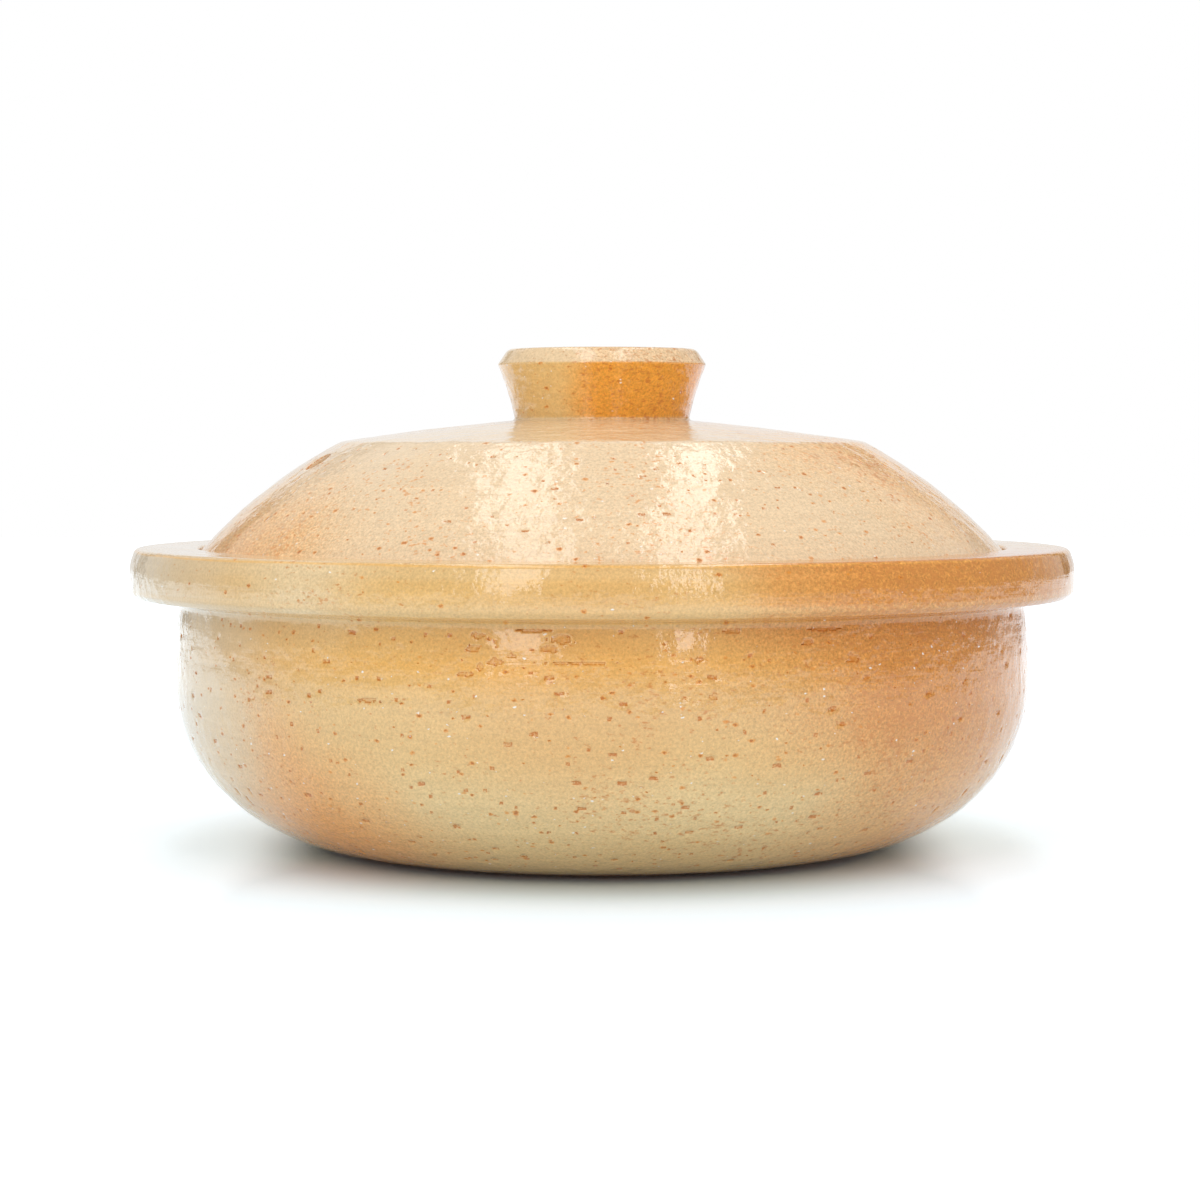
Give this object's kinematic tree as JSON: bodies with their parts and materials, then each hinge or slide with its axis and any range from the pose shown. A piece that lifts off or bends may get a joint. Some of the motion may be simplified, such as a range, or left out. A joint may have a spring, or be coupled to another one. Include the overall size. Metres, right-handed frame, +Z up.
{
  "type": "lidded clay cooking pot",
  "caption": "Round flanged stoneware cooking pot with a low bowl, a domed lid sunk into the flange, a hollow ring knob and a steam hole in the dome.",
  "frame": {"origin": "centre of the foot, on the surface that the pot stands on", "axes": "+Z up the pot's axis of turning, -Y towards the front, +X to the right; the steam hole is at the left, a little to the front"},
  "size_m": [0.29, 0.29, 0.1532],
  "materials": {
    "pot_glaze": "clear gloss glaze over speckled tan stoneware, bare clay on the foot and the lid seat",
    "lid_glaze": "clear gloss glaze over speckled pale peach stoneware, bare clay under the rim",
    "knob_glaze": "clear gloss glaze over speckled stoneware, tan to orange"
  },
  "bodies": {
    "pot": {"pot_body": "pot_glaze"},
    "lid": {"lid_dome": "lid_glaze", "lid_knob": "knob_glaze"}
  },
  "joints": [
    {"name": "lid_lift", "type": "slide", "parent": "pot", "child": "lid", "axis": [0, 0, 1], "range_m": [0, 0.12]}
  ]
}
